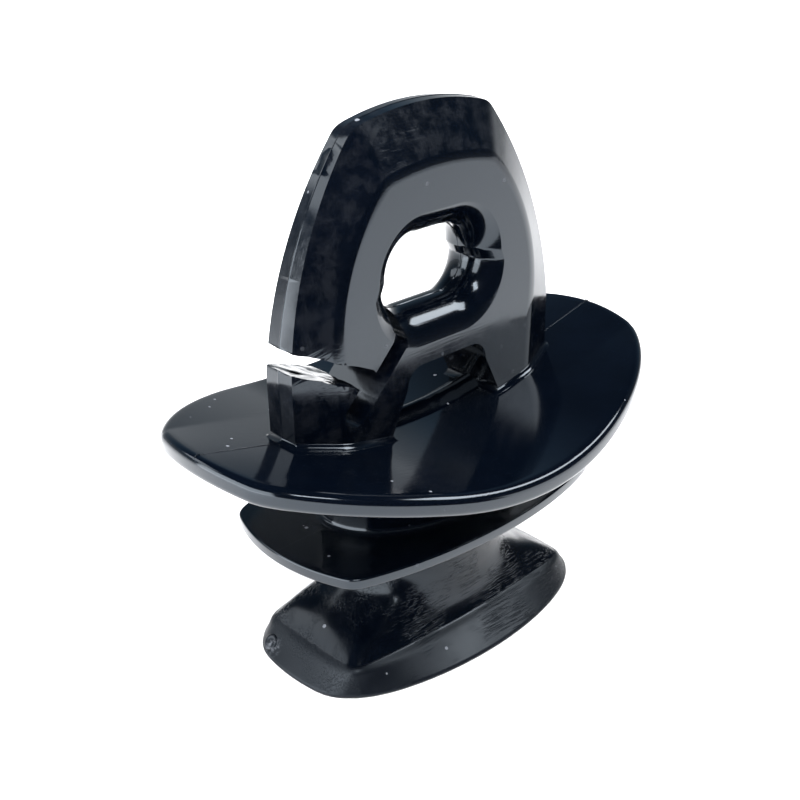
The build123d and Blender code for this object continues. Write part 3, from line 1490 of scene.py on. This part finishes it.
@dataclass(frozen=True)
class BlackAcetal:
    """Black moulded acetal: glossy or satin, with rubbing marks, dust and dulled edges."""

    name: str
    colour: tuple[float, float, float] = (0.0004, 0.0009, 0.0022)
    dust_colour: tuple[float, float, float] = (0.13, 0.14, 0.16)
    gloss_tint: tuple[float, float, float] = (0.78, 0.89, 1.0)
    gloss_level: float = 0.5
    blush_at: tuple[float, float, float] | None = None
    gloss_low: float = 0.104
    gloss_high: float = 0.118
    rub_scale: float = 1.0
    rub_amount: float = 0.05
    rub_roughness: float = 0.12
    dust_amount: float = 1.0
    wear_amount: float = 0.5
    peel: float = 1.0
    satin_below: float | None = None
    satin_roughness: float = 0.42
    satin_fade: float = 0.3
    refraction: float = 1.48
    wave_depth: float = 0.00012
    wave_strength: float = 0.07
    mark_depth: float = 0.00003

    def pale_parts(self, board: Board, dust: Socket, wear: Socket) -> Socket:
        """Where dust, worn edges and the gate's scuffs lighten the plastic.

        Args:
            board: the material's board.
            dust: mask of the dust.
            wear: mask of the worn edges.

        Returns:
            Share of the pale colour.
        """
        pale = board.math("MAXIMUM", dust, board.math("MULTIPLY", wear, 0.05))
        if self.blush_at is None:
            return pale
        away = board.node("VectorMath", operation="DISTANCE")
        board.feed(away.inputs[0], board.place())
        away.inputs[1].default_value = Vector(self.blush_at) * MM
        near = board.spread(away.outputs["Value"], 0.5 * MM, 1.7 * MM, 1.0, 0.0)
        scuffs = board.spread(board.noise(board.place((1, 1, 2)), 1500.0, 3.0, 0.65), 0.47, 0.62)
        blush = board.math("MULTIPLY", board.math("MULTIPLY", near, scuffs), 0.55)
        return board.math("MAXIMUM", pale, blush)

    def dulling(self, board: Board, gloss: Socket, rub: Socket, wear: Socket, dust: Socket) -> Socket:
        """How rough the surface is.

        Args:
            board: the material's board.
            gloss: pattern of the uneven gloss.
            rub: mask of the rubbing marks.
            wear: mask of the worn edges.
            dust: mask of the dust.

        Returns:
            The roughness.
        """
        rough = board.spread(gloss, 0.3, 0.7, self.gloss_low, self.gloss_high)
        if self.satin_below is not None:
            height = board.node("SeparateXYZ")
            board.feed(height.inputs[0], board.place())
            top = (self.satin_below + self.satin_fade) * MM
            satin = board.spread(height.outputs["Z"], self.satin_below * MM, top, 1.0, 0.0)
            extra = self.satin_roughness - self.gloss_high
            rough = board.math("ADD", rough, board.math("MULTIPLY", satin, extra))
        rough = board.math("ADD", rough, board.math("MULTIPLY", rub, self.rub_roughness))
        rough = board.math("ADD", rough, board.math("MULTIPLY", wear, 0.12))
        return board.math("ADD", rough, board.math("MULTIPLY", dust, 0.5), clamp=True)

    def make(self, effects: SurfaceEffects) -> bpy.types.Material:
        """Builds the material.

        Args:
            effects: the shared effects.

        Returns:
            The material.
        """
        material, board, shader = new_material(self.name)
        rub = effects.use(board, effects.rubbing, Scale=self.rub_scale, Amount=self.rub_amount).outputs
        dust = effects.use(board, effects.dust, Amount=self.dust_amount).outputs["Mask"]
        wear = effects.use(board, effects.wear, Amount=self.wear_amount).outputs["Mask"]
        flow = effects.use(board, effects.flow, Peel=self.peel).outputs
        tone = board.node("Mix", data_type="RGBA")
        board.feed(tone.inputs["Factor"], board.spread(flow["Gloss"], 0.3, 0.7))
        board.feed(tone.inputs[MIX_FIRST], (*self.colour, 1))
        board.feed(tone.inputs[MIX_SECOND], (*(channel * 1.35 for channel in self.colour), 1))
        dusty = board.node("Mix", data_type="RGBA")
        board.feed(dusty.inputs["Factor"], self.pale_parts(board, dust, wear))
        board.feed(dusty.inputs[MIX_FIRST], tone.outputs[MIX_RESULT])
        board.feed(dusty.inputs[MIX_SECOND], (*self.dust_colour, 1))
        board.feed(shader.inputs["Base Color"], dusty.outputs[MIX_RESULT])
        board.feed(shader.inputs["Roughness"], self.dulling(board, flow["Gloss"], rub["Mask"], wear, dust))
        shader.inputs["IOR"].default_value = self.refraction
        shader.inputs["Specular Tint"].default_value = (*self.gloss_tint, 1)
        shader.inputs["Specular IOR Level"].default_value = self.gloss_level
        waves = board.node("Bump")
        waves.inputs["Distance"].default_value = self.wave_depth
        waves.inputs["Strength"].default_value = self.wave_strength
        board.feed(waves.inputs["Height"], flow["Height"])
        marks = board.node("Bump")
        marks.inputs["Distance"].default_value = self.mark_depth
        marks.inputs["Strength"].default_value = 1.0
        board.feed(marks.inputs["Height"], rub["Height"])
        board.feed(marks.inputs["Normal"], waves.outputs[0])
        board.feed(shader.inputs["Normal"], marks.outputs[0])
        return material


def dress(
    piece: bpy.types.Object, material: bpy.types.Material, slot: MaterialSlot, nodes: Sequence[str],
) -> None:
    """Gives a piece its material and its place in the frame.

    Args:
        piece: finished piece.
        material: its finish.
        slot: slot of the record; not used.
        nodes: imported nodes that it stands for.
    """
    piece.data.materials.clear()
    piece.data.materials.append(material)
    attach(piece, ROOT)
    if nodes:
        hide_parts(*nodes)
    stands_for = ", ".join(nodes) or "trim"
    LOG.info("%s: %d faces, stands for %s", piece.name, len(piece.data.polygons), stands_for)


# ---------------------------------------------------------------- studio


@dataclass(frozen=True)
class SoftBox:
    """A soft rectangular light, in millimetres and watts."""

    name: str
    centre: tuple[float, float, float]
    size: tuple[float, float]
    facing: tuple[float, float, float]
    watts: float
    in_gloss: bool = True

    def build(self) -> None:
        """Hangs the light."""
        data = bpy.data.lights.new(self.name, "AREA")
        data.shape = "RECTANGLE"
        data.size, data.size_y = (length * MM for length in self.size)
        data.energy = self.watts
        light = bpy.data.objects.new(self.name, data)
        light.visible_glossy = self.in_gloss
        bpy.context.scene.collection.objects.link(light)
        centre = Vector(self.centre)
        turn = (Vector(self.facing) - centre).to_track_quat("-Z", "Y")
        light.matrix_world = Matrix.Translation(centre * MM) @ turn.to_matrix().to_4x4()


@dataclass
class Studio:
    """Pale floor, soft lights and the camera."""

    camera_place: tuple[float, float, float] = (-84.36, -88.89, 85.50)
    azimuth: float = -42.55
    elevation: float = 25.37
    roll: float = -1.14
    lens: float = 54.36
    floor_colour: tuple[float, float, float] = (0.86, 0.86, 0.87)
    floor_lift: float = 0.14
    sun_power: float = 6.0
    sun_spread: float = 70.0
    boxes: tuple[SoftBox, ...] = (
        SoftBox("near_fill", (25, -40, 270), (270, 270), (25, -40, 0), 1.0, in_gloss=False),
        SoftBox("right_box", (330, -270, 440), (280, 170), (0, 0, 30), 2.0),
        SoftBox("left_box", (-250, 340, 310), (240, 170), (0, 0, 10), 0.4),
        SoftBox("left_panel", (-150, 20, 58), (200, 110), (0, 20, 50), 0.45),
        SoftBox("front_lamp", (-130, -205, 250), (110, 60), (0, 0, 30), 0.35),
    )
    # Colour of the card that paints shade into the object's reflections.
    painted_shade_colour: tuple[float, float, float] = (0.004, 0.006, 0.012)
    backdrop: float = 1.2
    sky: tuple = (
        (0.0, (0.95, 0.98, 1.0)), (0.1, (0.62, 0.66, 0.7)), (0.22, (0.31, 0.35, 0.38)),
        (0.42, (0.12, 0.19, 0.26)), (0.7, (0.03, 0.04, 0.055)),
    )

    def add_camera(self) -> None:
        """Places the camera and makes it the scene's."""
        az, el, roll = (math.radians(v) for v in (self.azimuth, self.elevation, self.roll))
        back = Vector((math.sin(az) * math.cos(el), -math.cos(az) * math.cos(el), math.sin(el)))
        right = Vector((math.cos(az), math.sin(az), 0))
        up = back.cross(right)
        turned_right = right * math.cos(roll) + up * math.sin(roll)
        turned_up = -right * math.sin(roll) + up * math.cos(roll)
        data = bpy.data.cameras.new("camera")
        data.lens = self.lens
        data.sensor_width = 36
        data.clip_start = 0.005
        camera = bpy.data.objects.new("camera", data)
        bpy.context.scene.collection.objects.link(camera)
        turn = Matrix((turned_right, turned_up, back)).transposed().to_4x4()
        camera.matrix_world = Matrix.Translation(Vector(self.camera_place) * MM) @ turn
        bpy.context.scene.camera = camera

    def add_floor(self) -> None:
        """Lays a pale floor, which looks a little brighter to the eye than in the gloss."""
        mesh = bmesh.new()
        bmesh.ops.create_grid(mesh, x_segments=1, y_segments=1, size=3000)
        floor = make_object("studio_floor", mesh)
        material, board, shader = new_material("floor_white")
        shader.inputs["Base Color"].default_value = (*self.floor_colour, 1)
        shader.inputs["Emission Color"].default_value = (1, 1, 1, 1)
        seen = board.node("LightPath").outputs["Is Camera Ray"]
        board.feed(shader.inputs["Emission Strength"], board.math("MULTIPLY", seen, self.floor_lift))
        shader.inputs["Roughness"].default_value = 0.9
        floor.data.materials.append(material)

    def add_sun(self) -> None:
        """Lights the floor evenly from overhead, without a glint on the plastic."""
        data = bpy.data.lights.new("overhead_fill", "SUN")
        data.energy = self.sun_power
        data.angle = math.radians(self.sun_spread)
        sun = bpy.data.objects.new("overhead_fill", data)
        sun.visible_glossy = False
        sun.rotation_euler = (math.radians(8), math.radians(-6), 0)
        bpy.context.scene.collection.objects.link(sun)

    def add_painted_shade_card(self) -> None:
        """Leans a dark card away in front of the object, seen only in its gloss: painted shade in its
        reflections, standing for the darker floor by the camera.
        """
        centre_x, half_length, near_y, depth, height = -110, 145, -90, 170, 250
        mesh = bmesh.new()
        bmesh.ops.create_grid(mesh, x_segments=1, y_segments=1, size=1.0)
        for vert in mesh.verts:
            away = (1 - vert.co.y) / 2
            vert.co = Vector((centre_x + half_length * vert.co.x, near_y - depth * away, 1 + height * away))
        card = make_object("painted_shade_card", mesh)
        material, _, shader = new_material("painted_shade_black")
        shader.inputs["Base Color"].default_value = (*self.painted_shade_colour, 1)
        shader.inputs["Roughness"].default_value = 1.0
        card.data.materials.append(material)
        card.visible_camera = False
        card.visible_diffuse = False
        card.visible_shadow = False

    def add_sky(self) -> None:
        """Sets the surroundings: white to the eye, and a dim blue room in the gloss."""
        world = bpy.data.worlds.new("surroundings")
        world.use_nodes = True
        bpy.context.scene.world = world
        board = Board(world.node_tree)
        heading = board.node("SeparateXYZ")
        board.feed(heading.inputs[0], board.node("TexCoord").outputs["Generated"])
        ramp = board.node("ValToRGB")
        board.feed(ramp.inputs["Fac"], heading.outputs["Z"])
        stops = ramp.color_ramp.elements
        for stop, (position, colour) in zip((stops[0], stops[1]), (self.sky[0], self.sky[-1])):
            stop.position, stop.color = position, (*colour, 1)
        for position, colour in self.sky[1:-1]:
            stops.new(position).color = (*colour, 1)
        dimmed = board.node("VectorMath", operation="SCALE")
        board.feed(dimmed.inputs[0], ramp.outputs["Color"])
        board.feed(dimmed.inputs["Scale"], board.spread(heading.outputs["Y"], -0.55, 0.25, 0.22, 1.0))
        seen = board.node("Mix", data_type="RGBA")
        board.feed(seen.inputs["Factor"], board.node("LightPath").outputs["Is Camera Ray"])
        board.feed(seen.inputs[MIX_FIRST], dimmed.outputs[0])
        board.feed(seen.inputs[MIX_SECOND], (self.backdrop, self.backdrop, self.backdrop, 1))
        board.feed(world.node_tree.nodes["Background"].inputs["Color"], seen.outputs[MIX_RESULT])

    def build(self) -> None:
        """Sets the whole studio."""
        bpy.context.scene.view_settings.view_transform = "Standard"
        self.add_camera()
        self.add_floor()
        self.add_sky()
        self.add_sun()
        self.add_painted_shade_card()
        for box in self.boxes:
            box.build()
        LOG.info("studio set")


def main() -> None:
    """Builds every member in order and sets the studio."""
    logging.basicConfig(level=logging.INFO, format="%(name)s %(message)s")
    effects = SurfaceEffects()
    gloss = BlackAcetal("gloss_black_acetal").make(effects)
    satin = BlackAcetal(
        "rubbed_black_acetal", gloss_low=0.13, gloss_high=0.2, gloss_level=0.28, blush_at=(-18.9, 4.3, 0.9),
        rub_amount=0.7, rub_scale=1.5, rub_roughness=0.2, peel=2.0, satin_below=2.95,
    ).make(effects)
    wing = WingCurve()
    upper = Plate(
        "upper_flange", Bowed(31.2, 20.0, 28.64, 30.0), squareness=60.0, thickness=2.4,
        top_round=0.95, under_round=0.7, wing=wing, end_droop=0.35,
    )
    lower = Plate(
        "lower_flange", Bowed(28.7, 13.1, 18.8, 21.1), squareness=34.0, thickness=1.35,
        top_round=0.3, under_round=0.3, inner_rings=30,
    )
    stem = Stem(wing, upper.middle_z)
    pedestal = Pedestal()
    arch = Arch(wing, upper.middle_z)
    cove = BaseFillet(wing, upper.middle_z)
    sill = WindowSill(wing, upper.middle_z)
    scar = GateScar()
    dress(pedestal.build(), satin, pedestal.slot, ["foot_block", "neck"])
    dress(lower.build(), gloss, lower.slot, [lower.node])
    dress(stem.build(), gloss, stem.slot, ["stem"])
    dress(upper.build(), gloss, upper.slot, [upper.node])
    arch_piece = arch.build()
    for piece in cove.build(arch_piece):
        dress(piece, gloss, cove.slot, [])
    dress(arch_piece, gloss, arch.slot, ["crown", "hanging_horn", "jam_post", "eye_sill", "closed_leg"])
    dress(sill.build(), gloss, sill.slot, [])
    dress(scar.build(), satin, scar.slot, [])
    for seam in mould_seams(upper, lower):
        dress(seam.build(), gloss, seam.slot, [])
    Studio().build()


if __name__ == "__main__":
    main()
